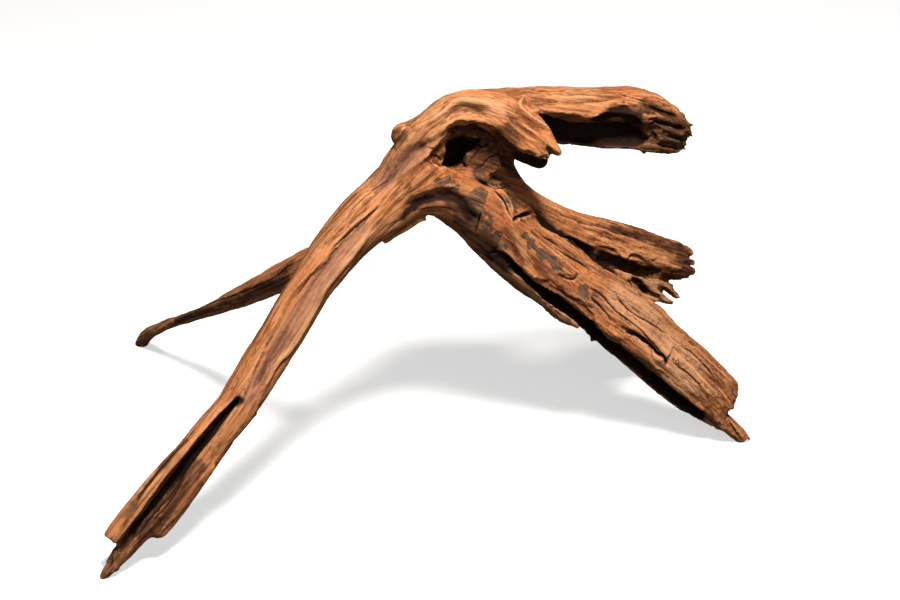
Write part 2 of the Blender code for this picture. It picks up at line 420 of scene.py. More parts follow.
# (half width, depth, marks), in mm. A depth below zero is a ridge.
BROAD_MARKS = {
    "left_leg_hollow": (8, 3.5, [(-52, 208), (-76, 183), (-97, 156), (-118, 120), (-135, 89), (-149, 60)]),
    "left_leg_worn_ridge": (4.5, -3.5, [(-50, 200), (-68, 177), (-86, 154), (-100, 129), (-118, 99),
                                        (-133, 82), (-145, 58)]),
    "left_leg_outer_ridge": (6, -2.5, [(-38, 250), (-68, 215), (-89, 187), (-106, 166), (-121, 144),
                                       (-136, 118), (-149, 95)]),
    "fold_beside_the_hollow": (10, 7.0, [(4, 276), (-11, 266), (-27, 257), (-42, 243), (-58, 228)]),
    "brow_worn_ridge": (5, -5.0, [(-14, 284), (2, 295), (16, 303), (25, 309), (32, 309), (41, 308),
                                  (60, 305)]),
    "dent_below_the_brow_ridge": (7, 4.0, [(14, 293), (24, 301), (38, 300), (54, 297)]),
    "crown_shade": (9, 7.0, [(-11, 290), (-1, 297), (10, 305), (18, 311)]),
    "flap_rolled_lip": (3.5, -4.5, [(80, 312), (77, 305), (80, 300), (86, 295), (93, 290), (100, 286),
                                    (105, 279)]),
    "flap_crease": (4, 4.0, [(72, 302), (77, 296), (85, 290), (94, 284), (101, 278)]),
    "behind_the_crown": (4, 3.0, [(84, 314), (86, 308), (88, 303), (93, 299)]),
    "upper_branch_furrow": (3.5, 3.0, [(94, 314), (106, 313), (140, 314), (170, 318)]),
    "upper_branch_step": (8, 4.0, [(152, 300), (170, 302), (188, 300)]),
    "flap_furrow": (4.5, 4.0, [(66, 296), (75, 291), (81, 284), (87, 280), (97, 276)]),
    "flap_lower_furrow": (4.5, 3.5, [(70, 284), (77, 279), (82, 274), (90, 272)]),
    "limb_ridge": (7, -5.0, [(48, 238), (62, 231), (68, 220), (71, 204), (81, 184), (89, 168), (102, 157)]),
    "slab_ridge": (8, -3.0, [(139, 173), (162, 155), (190, 135), (216, 117)]),
    "channel_head": (6, 4.0, [(56, 178), (65, 177), (76, 168), (86, 160)]),
    "channel_tail": (10, 8.0, [(140, 119), (155, 106), (174, 92), (193, 78), (213, 64), (232, 50),
                               (256, 33)]),
    "behind_the_flap_lip": (6, 8.0, [(94, 302), (100, 298), (110, 293), (124, 289)]),
    "crevice": (5, 8.0, [(94, 217), (98, 210), (110, 202), (126, 193), (146, 181), (161, 168), (172, 160)]),
    "back_leg_groove": (4, 3.0, [(-121, 156), (-152, 145), (-188, 132), (-222, 125), (-262, 112)]),
    "back_leg_ridge": (5, -1.8, [(-133, 160), (-148, 154), (-171, 143), (-204, 133), (-244, 121)]),
    "back_branch_groove": (4, 4.0, [(117, 218), (145, 210), (174, 202), (204, 193)]),
    "back_branch_lower_groove": (4, 4.0, [(131, 210), (159, 199), (194, 186)]),
    "flake_crevice": (3.5, 5.0, [(172, 114), (184, 109), (195, 102), (206, 92), (214, 86)]),
    "outer_strand_furrow": (3.5, 2.5, [(-196, 33), (-216, 10), (-236, -14), (-250, -36)]),
    "slit_behind_the_leg": (2.5, 6.0, [(180, 158), (196, 149), (212, 138)]),
    "upper_branch_trough": (13, 6.5, [(106, 290), (115, 289), (142, 288), (169, 289), (184, 291)]),
    "under_arch": (9, 6.5, [(-24, 212), (-11, 223), (2, 228), (16, 230), (27, 225), (36, 214), (46, 202)]),
    "end_groove_top": (4, 5.0, [(190, 311), (200, 308), (207, 305), (224, 302)]),
    "end_groove_upper": (3.5, 6.5, [(196, 297), (212, 294), (230, 291)]),
    "end_groove_middle": (3.5, 6.5, [(200, 288), (214, 284), (232, 281)]),
    "end_groove_lower": (3.5, 6.0, [(198, 278), (215, 275), (228, 273)]),
    "knot_hole": (7, 6.0, [(56, 186), (60, 184)]),
    "under_the_brow": (6, 7.0, [(15, 283), (25, 286), (35, 286), (46, 284), (54, 279), (59, 273)]),
    "gap_below_back_branch": (7, 12.0, [(150, 181), (162, 176), (178, 171), (195, 166), (216, 161)]),
    "foot_ridge": (3, -3.0, [(-202, -6), (-211, -23), (-223, -40), (-236, -52), (-254, -71)]),
    "foot_second_ridge": (2.5, -2.5, [(-207, -6), (-215, -16), (-236, -41), (-253, -64)]),
    "foot_black_line": (3, 2.0, [(-161, 54), (-179, 32), (-204, 5), (-225, -20), (-240, -41), (-252, -56)]),
    "foot_strand_groove": (3, 2.5, [(-222, -8), (-236, -26), (-250, -42), (-262, -58)]),
    "gap_between_prongs": (3.5, 11.0, [(186, 160), (199, 151), (212, 142), (221, 136)]),
    "right_of_the_knot": (5, 6.0, [(61, 275), (63, 264), (66, 258)]),
}

# Hollows on the far side, in the same way.
BACK_MARKS = {
    "right_leg_back": (8, 5.0, [(84, 190), (112, 166), (140, 142), (166, 118), (186, 98)]),
    "right_leg_back_upper": (5, 4.0, [(96, 200), (122, 180), (150, 158), (178, 138)]),
    "left_leg_back": (5, 3.5, [(-52, 215), (-84, 176), (-112, 134), (-138, 90), (-166, 48), (-198, 8)]),
    "crown_back": (11, 6.0, [(-8, 286), (10, 298), (34, 304), (58, 300)]),
    "crown_back_fold": (6, -3.0, [(-20, 262), (4, 276), (32, 282), (60, 276)]),
    "upper_branch_back": (5, 3.5, [(80, 308), (118, 302), (160, 300), (200, 294)]),
    "back_branch_back": (4, 3.0, [(128, 208), (160, 200), (196, 190), (226, 178)]),
}

# (height, fade, marks), in mm. The high side is on the left of the way that the marks go.
LEDGES = {
    "left_leg_edge": (3.2, 7, [(-160, 51), (-150, 78), (-133, 111), (-113, 147), (-92, 169), (-70, 197),
                               (-48, 216)]),
    "brow_edge": (3.5, 7, [(8, 278), (12, 284), (16, 289), (25, 294), (33, 294), (44, 292), (55, 288),
                           (60, 284), (63, 279)]),
    "flap_edge": (3.0, 6, [(63, 279), (72, 273), (79, 269), (86, 268), (96, 263), (102, 264)]),
    "flake": (4.5, 6, [(211, 71), (210, 78), (201, 87), (199, 95), (187, 106), (178, 110), (162, 117)]),
    "plank_end": (3.0, 8, [(211, 81), (217, 91), (222, 99)]),
    "bark_edge": (2.0, 7, [(41, 247), (48, 243), (59, 240), (67, 243)]),
    "bark_chip": (1.8, 5, [(10, 238), (16, 235), (25, 238)]),
    "chip_side": (2.6, 6, [(56, 238), (60, 233), (67, 226), (71, 215), (73, 211)]),
    "chip_foot": (3.0, 6, [(73, 211), (82, 217), (92, 219)]),
    "upper_branch_shell": (3.5, 8, [(85, 299), (111, 301), (139, 300), (154, 302)]),
    "upper_branch_shell_end": (3.5, 6, [(152, 308), (162, 311), (174, 312), (184, 308), (190, 303)]),
    "end_step": (5.0, 10, [(194, 274), (197, 286), (192, 296), (189, 305)]),
    "branch_lit_edge": (3.0, 6, [(150, 192), (158, 189), (168, 185), (177, 179), (186, 184), (199, 177),
                                 (214, 179)]),
    "slab_lower_edge": (3.0, 8, [(66, 182), (84, 167), (99, 159), (111, 154), (126, 144), (137, 137),
                                 (150, 120), (164, 108), (191, 88), (210, 76)]),
    "slab_chip": (1.8, 4, [(112, 166), (117, 164), (128, 160), (132, 166)]),
    "leg_right_edge": (1.5, 4, [(-194, -18), (-182, -1), (-172, 16), (-162, 25), (-153, 37), (-143, 58)]),
    "branch_top_edge": (1.5, 4, [(190, 206), (204, 201), (216, 197), (229, 191), (240, 186)]),
}

# Broken ends: tip, way that the limb points, length that is torn and size of a bundle of fibres, in
# mm, and how many splinters stand on the end.
TORN_ENDS = {
    "upper_branch": ((238, 70, 281), (0.95, 0.11, -0.28), 18, 6.0, 18),
    "back_branch": ((253, 126, 128), (0.86, 0.42, -0.30), 24, 4.5, 24),
    "right_leg_slab": ((284, 18, 38), (0.72, -0.04, -0.69), 4, 6.0, 4),
    "left_leg_outer_strand": ((-277, -203, 22), (-0.62, -0.50, -0.60), 6, 4.0, 10),
}

# Burled wood that is rough all over: (middle, reach), in mm.
BURLS = {
    "knot": ((47, 6, 299), 14),
    "beside_the_hollow": ((4, -7, 305), 12),
    "knob": ((-23, -3, 318), 11),
    "under_the_brow": ((36, 8, 322), 16),
    "foot_knot": ((-225, -180, 41), 10),
}


def wandering(points, size, seed):
    """A small random shift of each point, which takes a mark off its line."""
    return np.stack([lumps(points, size, seed + i) for i in range(3)], -1)


def weathering(points):
    """How far the surface has decayed: 0 on the crown and the left legs, 1 on the right."""
    rotten = np.clip((points[:, 0] - 50) / 60, 0, 1)
    sound_shell = np.clip((points[:, 2] - 285) / 15, 0, 1) * np.clip((175 - points[:, 0]) / 15, 0, 1)
    return rotten * (1 - sound_shell)


def from_tip(points, tip, way):
    """The limb's way at length 1, and how far each point is past its tip and away from its tip."""
    way = np.array(way, np.float32)
    way /= np.linalg.norm(way)
    offset = points - np.array(tip, np.float32)
    return way, offset @ way, np.linalg.norm(offset, axis=1)


def tear(points, tip, way, length, bundle, seed):
    """Breaks a limb's fibres off at uneven lengths."""
    way, beyond, around = from_tip(points, tip, way)
    near = np.nonzero((beyond > -length * 1.4) & (beyond < length) & (around < length + 32))[0]
    flat = points[near] - beyond[near, None] * way
    ragged = lumps(flat, bundle, seed) + 0.6 * lumps(flat, bundle / 2.2, seed + 1)
    limit = -length * np.clip(0.3 + 1.3 * ragged, 0, 1.2)
    over = np.clip(beyond[near] - limit, 0, None)
    points[near] -= (over * 0.92)[:, None] * way


wood_skin = skin_of(wood)
LINES = {name: pressed(wood_skin, row[-1]) for name, row in {**BROAD_MARKS, **LEDGES}.items()}
BACK_LINES = {name: pressed(wood_skin, row[-1], side=-1) for name, row in BACK_MARKS.items()}
points, facing = read_points(wood)
relief = np.zeros(len(points), np.float32)
wander = wandering(points, size=9, seed=71)
wander *= (0.5 + 1.2 * weathering(points))[:, None]
for name, (half_width, depth, _) in BROAD_MARKS.items():
    groove(relief, points + wander, LINES[name], half_width, depth)
for name, (half_width, depth, _) in BACK_MARKS.items():
    groove(relief, points + wander, BACK_LINES[name], half_width, depth)
for name, (height, fade, _) in LEDGES.items():
    ledge(relief, points + wander, LINES[name], height, fade)
broad, middling = fibres(points, sizes=(11, 5), step=6.0, steps=6, seed=11, curved=True)
roughness = 0.5 + 0.5 * weathering(points)
relief += roughness * (1.2 * np.clip(broad, -2, 2) + 0.8 * np.clip(middling, -2, 2))
burled = np.clip(1.8 * middling + 1.6 * lumps(points, 4, 41) + 1.6 * lumps(points, 2.4, 42), -3, 3)
for middle, reach in BURLS.values():
    gap = np.linalg.norm(points - np.array(middle, np.float32), axis=1)
    relief += burled * np.clip(1.4 - gap / reach, 0, 1)
points += facing * relief[:, None]
for number, (tip, way, length, bundle, _) in enumerate(TORN_ENDS.values()):
    tear(points, tip, way, length, bundle, 91 + 2 * number)
write_points(wood, points)


# ---------------------------------------------------------------------------------------------
# Splinters. Broken ends and lifted edges are frayed into thin pointed splinters that follow the
# grain. They are grown from their roots by one tree, and then fused with the wood.
# ---------------------------------------------------------------------------------------------

# Edges that are frayed, and how many splinters each has.
FRAYED = {
    "brow_edge": 16,
    "flap_edge": 8,
    "upper_branch_shell_end": 8,
    "slab_lower_edge": 16,
    "flake": 6,
    "left_leg_edge": 6,
    "chip_foot": 4,
    "end_step": 6,
    "branch_lit_edge": 8,
    "leg_right_edge": 12,
    "branch_top_edge": 20,
}
FINE_CELL = 1.12  # cell of the second fused skin, mm

WOOD_FINISH = bpy.data.materials.new("weathered_wood")


def splinter_tree():
    """Grows a thin pointed splinter from each root, along the way stored in its aim."""
    tree = bpy.data.node_groups.new("splinters", "GeometryNodeTree")
    face = tree.interface
    face.new_socket("Geometry", in_out="OUTPUT", socket_type="NodeSocketGeometry")
    face.new_socket("Geometry", in_out="INPUT", socket_type="NodeSocketGeometry")
    for name in ("Length", "Thickness"):
        face.new_socket(name, in_out="INPUT", socket_type="NodeSocketFloat")
    face.new_socket("Seed", in_out="INPUT", socket_type="NodeSocketInt")
    face.new_socket("Finish", in_out="INPUT", socket_type="NodeSocketMaterial")
    nodes = tree.nodes
    given = nodes.new("NodeGroupInput")
    roots = nodes.new("GeometryNodeMeshToPoints")
    spike = nodes.new("GeometryNodeMeshCone")
    spike.inputs["Vertices"].default_value = 6
    spike.inputs["Side Segments"].default_value = 2
    spike.inputs["Radius Top"].default_value = 0
    aim = nodes.new("GeometryNodeInputNamedAttribute")
    aim.data_type = "FLOAT_VECTOR"
    aim.inputs["Name"].default_value = "aim"
    turn = nodes.new("FunctionNodeAlignRotationToVector")
    turn.axis = "Z"
    size = nodes.new("FunctionNodeRandomValue")
    size.data_type = "FLOAT_VECTOR"
    size.inputs["Min"].default_value = (0.6, 0.9, 0.4)
    size.inputs["Max"].default_value = (1.3, 1.8, 1.1)
    grown = nodes.new("GeometryNodeInstanceOnPoints")
    real = nodes.new("GeometryNodeRealizeInstances")
    finish = nodes.new("GeometryNodeSetMaterial")
    made = nodes.new("NodeGroupOutput")
    link = tree.links.new
    link(given.outputs["Geometry"], roots.inputs["Mesh"])
    link(given.outputs["Length"], spike.inputs["Depth"])
    link(given.outputs["Thickness"], spike.inputs["Radius Bottom"])
    link(aim.outputs["Attribute"], turn.inputs["Vector"])
    link(given.outputs["Seed"], size.inputs["Seed"])
    link(roots.outputs["Points"], grown.inputs["Points"])
    link(spike.outputs["Mesh"], grown.inputs["Instance"])
    link(turn.outputs["Rotation"], grown.inputs["Rotation"])
    link(size.outputs["Value"], grown.inputs["Scale"])
    link(grown.outputs["Instances"], real.inputs["Geometry"])
    link(real.outputs["Geometry"], finish.inputs["Geometry"])
    link(given.outputs["Finish"], finish.inputs["Material"])
    link(finish.outputs["Geometry"], made.inputs["Geometry"])
    return tree


def grow_splinters(tree, roots, aims, length, thickness, seed):
    """Adds a splinter to the wood at each root, in mm."""
    mesh = bpy.data.meshes.new("splinter_roots")
    mesh.from_pydata((roots * MM).tolist(), [], [])
    layer = mesh.attributes.new("aim", "FLOAT_VECTOR", "POINT")
    layer.data.foreach_set("vector", aims.astype(np.float32).ravel())
    grower = bpy.data.objects.new("splinter_roots", mesh)
    bpy.context.scene.collection.objects.link(grower)
    growth = grower.modifiers.new("splinters", "NODES")
    growth.node_group = tree
    values = {"Length": length * MM, "Thickness": thickness * MM, "Seed": seed, "Finish": WOOD_FINISH}
    for item in tree.interface.items_tree:
        if item.name in values:
            growth[item.identifier] = values[item.name]
    settle(grower)
    bm = bmesh.new()
    bm.from_mesh(wood.data)
    bm.from_mesh(grower.data)
    bm.to_mesh(wood.data)
    bm.free()
    bpy.data.objects.remove(grower)


random = np.random.default_rng(17)
points, facing = read_points(wood)
end_roots = []
end_aims = []
for tip, way, length, _, count in TORN_ENDS.values():
    way, beyond, around = from_tip(points, tip, way)
    broken = np.nonzero((beyond > -length * 1.3) & (around < length + 26) & (facing @ way > 0.25))[0]
    picked = random.choice(broken, count)
    end_roots.append(points[picked] - facing[picked] * 3)
    end_aims.append(way + 0.16 * random.normal(size=(len(picked), 3)))
edge_roots = []
edge_aims = []
for name, count in FRAYED.items():
    line = LINES[name]
    picked = line[random.integers(1, len(line) - 1, count)]
    along = grain_at(picked)
    edge_roots.append(picked - BOARD_OUT * 1.5)
    edge_aims.append(along + 0.10 * BOARD_OUT + 0.10 * random.normal(size=along.shape))
splinters = splinter_tree()
grow_splinters(splinters, np.vstack(end_roots), np.vstack(end_aims), length=10, thickness=2.2, seed=3)
grow_splinters(splinters, np.vstack(edge_roots), np.vstack(edge_aims), length=14, thickness=1.7, seed=4)
fuse(wood, FINE_CELL)


def drop_crumbs(piece):
    """Takes away any bits that the fused skin left apart from the wood."""
    bm = bmesh.new()
    bm.from_mesh(piece.data)
    left = set(bm.verts)
    largest = set()
    while left:
        start = left.pop()
        bit = {start}
        waiting = [start]
        while waiting:
            for edge in waiting.pop().link_edges:
                for vert in edge.verts:
                    if vert in left:
                        left.remove(vert)
                        bit.add(vert)
                        waiting.append(vert)
        if len(bit) > len(largest):
            largest = bit
    bmesh.ops.delete(bm, geom=[vert for vert in bm.verts if vert not in largest], context="VERTS")
    bm.to_mesh(piece.data)
    bm.free()


drop_crumbs(wood)


# ---------------------------------------------------------------------------------------------
# The fine carving: the fibres, the drying checks between them and the cracks that stand out, all
# cut into the fused skin. The skin is then thinned out where it is plain.
# ---------------------------------------------------------------------------------------------

# (half width, depth, marks), in mm.
CRACKS = {
    "limb_crack": (1.3, 3.0, [(45, 216), (42, 207), (40, 197)]),
    "chip_side_crack": (1.4, 3.0, [(56, 237), (60, 232), (66, 225), (70, 215), (73, 210)]),
    "chip_foot_crack": (2.2, 5.0, [(72, 209), (82, 214), (92, 217)]),
    "slab_long_crack": (1.2, 2.5, [(141, 152), (156, 142), (168, 129), (185, 117), (195, 107), (210, 91),
                                   (216, 84)]),
    "slab_second_crack": (1.1, 2.2, [(167, 143), (179, 131), (202, 117), (217, 108)]),
    "slab_upper_crack": (1.1, 2.5, [(109, 187), (128, 176), (143, 167)]),
    "slab_first_crack": (1.0, 2.2, [(97, 197), (117, 187)]),
    "slab_chip_crack": (1.5, 3.0, [(112, 163), (128, 158), (132, 165)]),
    "slab_lower_crack": (1.4, 3.0, [(143, 143), (153, 134), (164, 121)]),
    "flake_gap": (1.8, 4.0, [(176, 111), (192, 105), (206, 92), (214, 85), (213, 78)]),
    "knot_crack": (2.2, 5.0, [(52, 180), (64, 181), (74, 172)]),
    "end_crack": (1.1, 2.5, [(228, 99), (246, 85), (261, 68)]),
    "end_second_crack": (1.1, 2.5, [(220, 83), (237, 71), (253, 55)]),
    "upper_branch_cleft": (1.6, 3.5, [(166, 321), (180, 317), (194, 313)]),
    "knot_crease": (1.2, 1.8, [(54, 277), (45, 272), (38, 264), (34, 257)]),
    "knot_lower_crease": (1.2, 2.2, [(60, 266), (52, 263), (46, 256), (38, 252)]),
    "wrinkle_a": (1.1, 1.8, [(-1, 265), (6, 264), (12, 259)]),
    "wrinkle_b": (1.1, 1.8, [(-3, 260), (3, 256), (9, 250)]),
    "wrinkle_c": (1.1, 1.8, [(-4, 271), (4, 269), (10, 269)]),
    "bark_shadow": (1.6, 2.5, [(41, 244), (48, 241), (59, 237), (68, 240)]),
    "left_leg_crack": (1.3, 2.4, [(-42, 222), (-56, 208), (-70, 196), (-85, 181)]),
    "left_leg_lower_crack": (1.1, 1.4, [(-91, 172), (-103, 157), (-115, 140)]),
    "outer_strand_crack": (1.2, 2.2, [(-189, 42), (-210, 17), (-230, -7), (-246, -30)]),
    "outer_strand_second_crack": (1.0, 1.6, [(-224, 8), (-240, -12), (-256, -35)]),
    "spike_crack": (1.0, 1.8, [(276, 30), (283, 18), (290, 8)]),
    "left_leg_brow_crack": (0.9, 1.2, [(-34, 244), (-46, 236), (-60, 224), (-74, 208)]),
    "end_top_crack": (1.3, 3.0, [(192, 310), (207, 305), (224, 302)]),
    "end_upper_crack": (1.3, 3.5, BROAD_MARKS["end_groove_upper"][-1]),
    "end_middle_crack": (1.3, 3.5, BROAD_MARKS["end_groove_middle"][-1]),
    "end_lower_crack": (1.3, 3.5, BROAD_MARKS["end_groove_lower"][-1]),
    "thin_leg_crack": (1.0, 1.5, [(-121, 172), (-143, 157), (-175, 146), (-216, 134), (-251, 122)]),
}

wood_skin = skin_of(wood)
points, facing = read_points(wood)
(fine,) = fibres(points, sizes=(1.9,), step=1.8, steps=9, seed=21, curved=False)
(strands,) = fibres(points, sizes=(4.2,), step=2.0, steps=11, seed=25, curved=False)
patches = lumps(points, 34, 31) + 0.5 * lumps(points, 15, 32)
checked = np.clip(patches * 1.5 + 1.6 * weathering(points) - 0.6, 0, 1)
relief = (0.45 + 0.55 * checked) * 0.3 * np.clip(fine, -2, 2)
relief -= 0.5 * checked * np.clip(1 - np.abs(strands) / 0.35, 0, 1)
cut_in = np.zeros(len(points), np.float32)
wander = wandering(points, size=7, seed=75) * 0.5
for half_width, depth, marks in CRACKS.values():
    groove(cut_in, points + wander, pressed(wood_skin, marks), half_width, depth, taper=9.0)
relief += cut_in
points += facing * relief[:, None]
points[:, 2] = np.maximum(points[:, 2], 0)  # the feet are worn flat on the floor
write_points(wood, points)


def put_attribute(piece, name, values):
    """Stores a value, or a vector, at each of the piece's points."""
    kind = "FLOAT_VECTOR" if values.ndim == 2 else "FLOAT"
    layer = piece.data.attributes.new(name, kind, "POINT")
    layer.data.foreach_set("vector" if values.ndim == 2 else "value", values.astype(np.float32).ravel())


def mean_of_neighbours(piece, values):
    """For each point, the mean of the values at the points joined to it."""
    edges = np.empty(len(piece.data.edges) * 2, np.int32)
    piece.data.edges.foreach_get("vertices", edges)
    first, second = edges[::2], edges[1::2]
    count = len(values)
    joined = np.bincount(first, minlength=count) + np.bincount(second, minlength=count)
    columns = values.reshape(count, -1).T
    sums = [np.bincount(first, c[second], count) + np.bincount(second, c[first], count) for c in columns]
    return (np.array(sums) / joined).T.reshape(values.shape)


def standing_proud(piece, rounds):
    """How far each point stands out from the skin round it, in mm. It is below zero in hollows."""
    points, facing = read_points(piece)
    smooth = points
    for _ in range(rounds):
        smooth = 0.3 * smooth + 0.7 * mean_of_neighbours(piece, smooth)
    return ((points - smooth) * facing).sum(1)


# How far each point stands proud: this drives pale edges with painted highlight and dark creases with painted
# shade.
put_attribute(wood, "edge_proudness", standing_proud(wood, rounds=5))
put_attribute(wood, "ridge_proudness", standing_proud(wood, rounds=16))
# Painted shade: how deep each crack is cut, for painting the shade inside it.
put_attribute(wood, "crack_shade", np.clip(-cut_in / 2.0, 0, 1))
put_attribute(wood, "checked", checked)

FACE_LIMIT = 196000  # triangles that are kept
thin_out = wood.modifiers.new("thin_out", "DECIMATE")
thin_out.ratio = FACE_LIMIT / (2 * len(wood.data.polygons))
settle(wood)


# ---------------------------------------------------------------------------------------------
# The wood's finish: dry, dull, warm brown wood with no coating, paler where it is worn or bleached
# and with painted highlight on its lit edges, ridges and faces, and dark where it is damp, with painted
# shade in its hollows, cracks, undersides and the places that see little sky. Each kind of mark is stored
# on the skin, and one material mixes them along the grain.
# ---------------------------------------------------------------------------------------------

SHELTER_RAYS = 14  # ways that each spot looks for the sky
SHELTER_REACH = 70.0  # how far away wood still shelters a spot, mm
FOOT_SHADE_TOP = 105  # how high the painted shade of the lamp's falloff reaches up the left foot, mm
FOOT_SHADE_RIGHT = -140  # how far to the right that painted shade spreads, mm
RED_HUB = (55, 15, 235)  # where the limbs meet and the wood is reddest, mm
RED_REACH = 110  # how far the red spreads from there, mm

# Places painted near black as the deep shade in the hollow, the channels, the trough and under the
# overhangs: (radius, marks), in mm.
DEEP_SHADE = {
    "crown_hollow": (12, [(20, 277), (22, 270), (27, 264)]),
    "under_arch": (4, [(-22, 212), (-11, 222), (2, 227), (16, 228), (27, 224), (36, 212)]),
    "right_leg_channel": (7, [(56, 178), (65, 177), (76, 168), (86, 160), (97, 152), (106, 144), (121, 134),
                              (143, 118), (155, 105), (174, 91), (194, 76), (213, 61), (232, 45), (250, 33)]),
    "left_leg_split": (4, BROAD_MARKS["foot_black_line"][-1]),
    "upper_branch_trough": (14, [(106, 291), (115, 285), (132, 285), (146, 285)]),
    "upper_branch_trough_roof": (8, [(148, 299), (160, 302), (170, 302), (180, 299)]),
    "upper_branch_trough_back": (10, [(146, 290), (162, 293), (180, 292)]),
    "upper_branch_trough_floor": (7, [(112, 279), (140, 280), (165, 280), (184, 280)]),
    "crevice": (5, [(96, 214), (110, 202), (126, 193), (146, 181), (166, 165)]),
    "flap_underside": (8, [(79, 262), (92, 258), (100, 258)]),
}

# Patches of grey-brown bark that still cling: (radius, marks), in mm.
BARK = {
    "below_the_hollow": (8, [(46, 249), (56, 246), (66, 242)]),
    "bark_chip": (6, [(8, 242), (20, 240)]),
    "limb_face": (16, [(34, 220), (42, 202), (52, 186)]),
    "arch_side": (8, [(14, 232), (30, 224), (44, 232)]),
    "loose_chip": (9, [(70, 228), (80, 222)]),
    "slab_strip": (4, [(84, 196), (92, 186)]),
    "slab_star": (7, [(98, 180), (108, 176)]),
    "slab_spot": (6, [(112, 168), (118, 166)]),
    "slab_lower_patch": (8, [(138, 148), (146, 138)]),
}

# Places darkened partly by damp stains and partly as painted shade under brows, lips, flaps and
# branches: (radius, marks), in mm.
DAMP_AND_SHADE_PATCHES = {
    "upper_branch_end": (19, [(198, 286), (214, 285), (230, 282)]),
    "upper_branch_end_top": (8, [(188, 309), (200, 306), (216, 300)]),
    "upper_branch_trough_end": (16, [(150, 290), (165, 290), (186, 292)]),
    "back_branch_top": (5, [(168, 206), (190, 200), (208, 195), (229, 187)]),
    "back_branch_end": (11, [(236, 185), (243, 172), (236, 162)]),
    "back_branch_underside": (7, [(158, 177), (178, 172), (200, 168), (226, 163)]),
    "thin_leg_underside": (5, [(-121, 171), (-143, 155), (-175, 143), (-216, 131), (-251, 120)]),
    "foot_strands": (9, [(-196, -2), (-212, -22), (-224, -44), (-240, -58)]),
    "outer_strand": (4, [(-206, 20), (-228, -5), (-244, -27), (-254, -42)]),
    "foot_spike": (6, [(-258, -66), (-268, -80)]),
    "under_the_brow": (9, [(18, 284), (28, 287), (40, 287), (50, 283), (57, 278)]),
    "knot": (15, [(42, 266), (52, 266)]),
    "upper_branch_lip": (11, [(118, 276), (150, 277), (186, 276), (214, 275)]),
    "under_the_flap": (13, [(65, 279), (70, 268), (77, 256)]),
    "knob": (9, [(-29, 282), (-25, 280)]),
    "arch_side": (9, [(20, 226), (34, 208), (50, 190), (70, 168)]),
}

# Places made paler partly by the sun's bleaching and partly as painted highlight where the light
# falls on them: (radius, marks), in mm.
BLEACHED_AND_LIT = {
    "slab": (15, [(172, 143), (199, 117), (218, 94), (237, 69)]),
    "channel_lip": (7, [(60, 170), (80, 156), (103, 137), (124, 123)]),
    "left_leg_ridge": (3, BROAD_MARKS["left_leg_worn_ridge"][-1][:6]),
    "brow": (5, [(2, 296), (16, 303), (32, 309), (44, 308), (60, 304)]),
    "long_prong": (5, [(180, 160), (200, 153), (222, 145)]),
}

# Bands of mauve heartwood, along the left leg's groove and beside the hollow: (radius, marks), in mm.
HEARTWOOD = {
    "left_leg": (7, [(-59, 200), (-81, 175), (-102, 143), (-123, 109), (-140, 80), (-152, 59)]),
    "beside_the_hollow": (9, [(-8, 268), (-22, 258), (-38, 243)]),
}


def patch_mask(points, patches, skin, edge, blur, seed):
    """How much each point lies in any of the patches, with ragged edges."""
    ragged = edge * (lumps(points, 7, seed) + 0.7 * lumps(points, 3, seed + 1))
    mask = np.zeros(len(points), np.float32)
    for radius, marks in patches.values():
        line = pressed(skin, marks)
        near, gap, _, _, _ = near_line(points, line, radius + 2 * edge + blur)
        inside = np.clip((radius - gap + ragged[near]) / blur + 0.5, 0, 1)
        mask[near] = np.maximum(mask[near], inside)
    return mask


def openness(piece, skin, points, facing):
    """The share of the sky that each point sees past the wood."""
    turns = np.random.default_rng(5).normal(size=(SHELTER_RAYS, 3))
    turns /= np.linalg.norm(turns, axis=1, keepdims=True)
    starts = [Vector(start) for start in (points + facing * 0.6).tolist()]
    open_share = np.zeros(len(points), np.float32)
    for turn in turns:
        rays = (facing * 1.05 + turn).tolist()
        open_share += [skin.ray_cast(s, Vector(r), SHELTER_REACH)[0] is None for s, r in zip(starts, rays)]
    open_share /= SHELTER_RAYS
    for _ in range(4):
        open_share = 0.4 * open_share + 0.6 * mean_of_neighbours(piece, open_share)
    return open_share


points, facing = read_points(wood)
finished_skin = skin_of(wood)
put_attribute(wood, "grain", grain_at(points))
put_attribute(wood, "openness", openness(wood, finished_skin, points, facing))
deep_shade = patch_mask(points, DEEP_SHADE, finished_skin, edge=1.5, blur=3, seed=61)
put_attribute(wood, "deep_shade", deep_shade)
bark = patch_mask(points, BARK, finished_skin, edge=3.0, blur=7, seed=63)
put_attribute(wood, "bark", bark)
damp_and_shade = patch_mask(points, DAMP_AND_SHADE_PATCHES, finished_skin, edge=2.5, blur=7, seed=65)
# Painted shade: the left foot darkens towards the floor, for the lamp's light falling off there.
low_on_the_foot = np.clip((FOOT_SHADE_TOP - points[:, 2]) / 90, 0, 1)
foot_falloff_shade = 0.75 * low_on_the_foot * np.clip((FOOT_SHADE_RIGHT - points[:, 0]) / 30, 0, 1)
put_attribute(wood, "damp_and_shade", np.maximum(damp_and_shade, foot_falloff_shade))
bleached_and_lit = patch_mask(points, BLEACHED_AND_LIT, finished_skin, edge=3.0, blur=8, seed=67)
put_attribute(wood, "bleached_and_lit", bleached_and_lit)
heartwood = patch_mask(points, HEARTWOOD, finished_skin, edge=1.5, blur=4, seed=69)
put_attribute(wood, "heartwood", heartwood)
(tone_broad,) = fibres(points, sizes=(6,), step=3.0, steps=15, seed=51, curved=True)
(tone_fine,) = fibres(points, sizes=(3.0,), step=1.5, steps=18, seed=53, curved=True)
put_attribute(wood, "streak", np.clip(0.5 + 0.14 * tone_broad + 0.13 * tone_fine, 0, 1))
hub_gap = np.linalg.norm(points - np.array(RED_HUB, np.float32), axis=1)
ruddy = 0.4 + 0.7 * lumps(points, 42, 55) + 0.5 * lumps(points, 13, 56)
ruddy += 0.6 * np.clip(1 - hub_gap / RED_REACH, 0, 1)
put_attribute(wood, "ruddy", np.clip(ruddy + 0.15 * tone_fine, 0, 1))


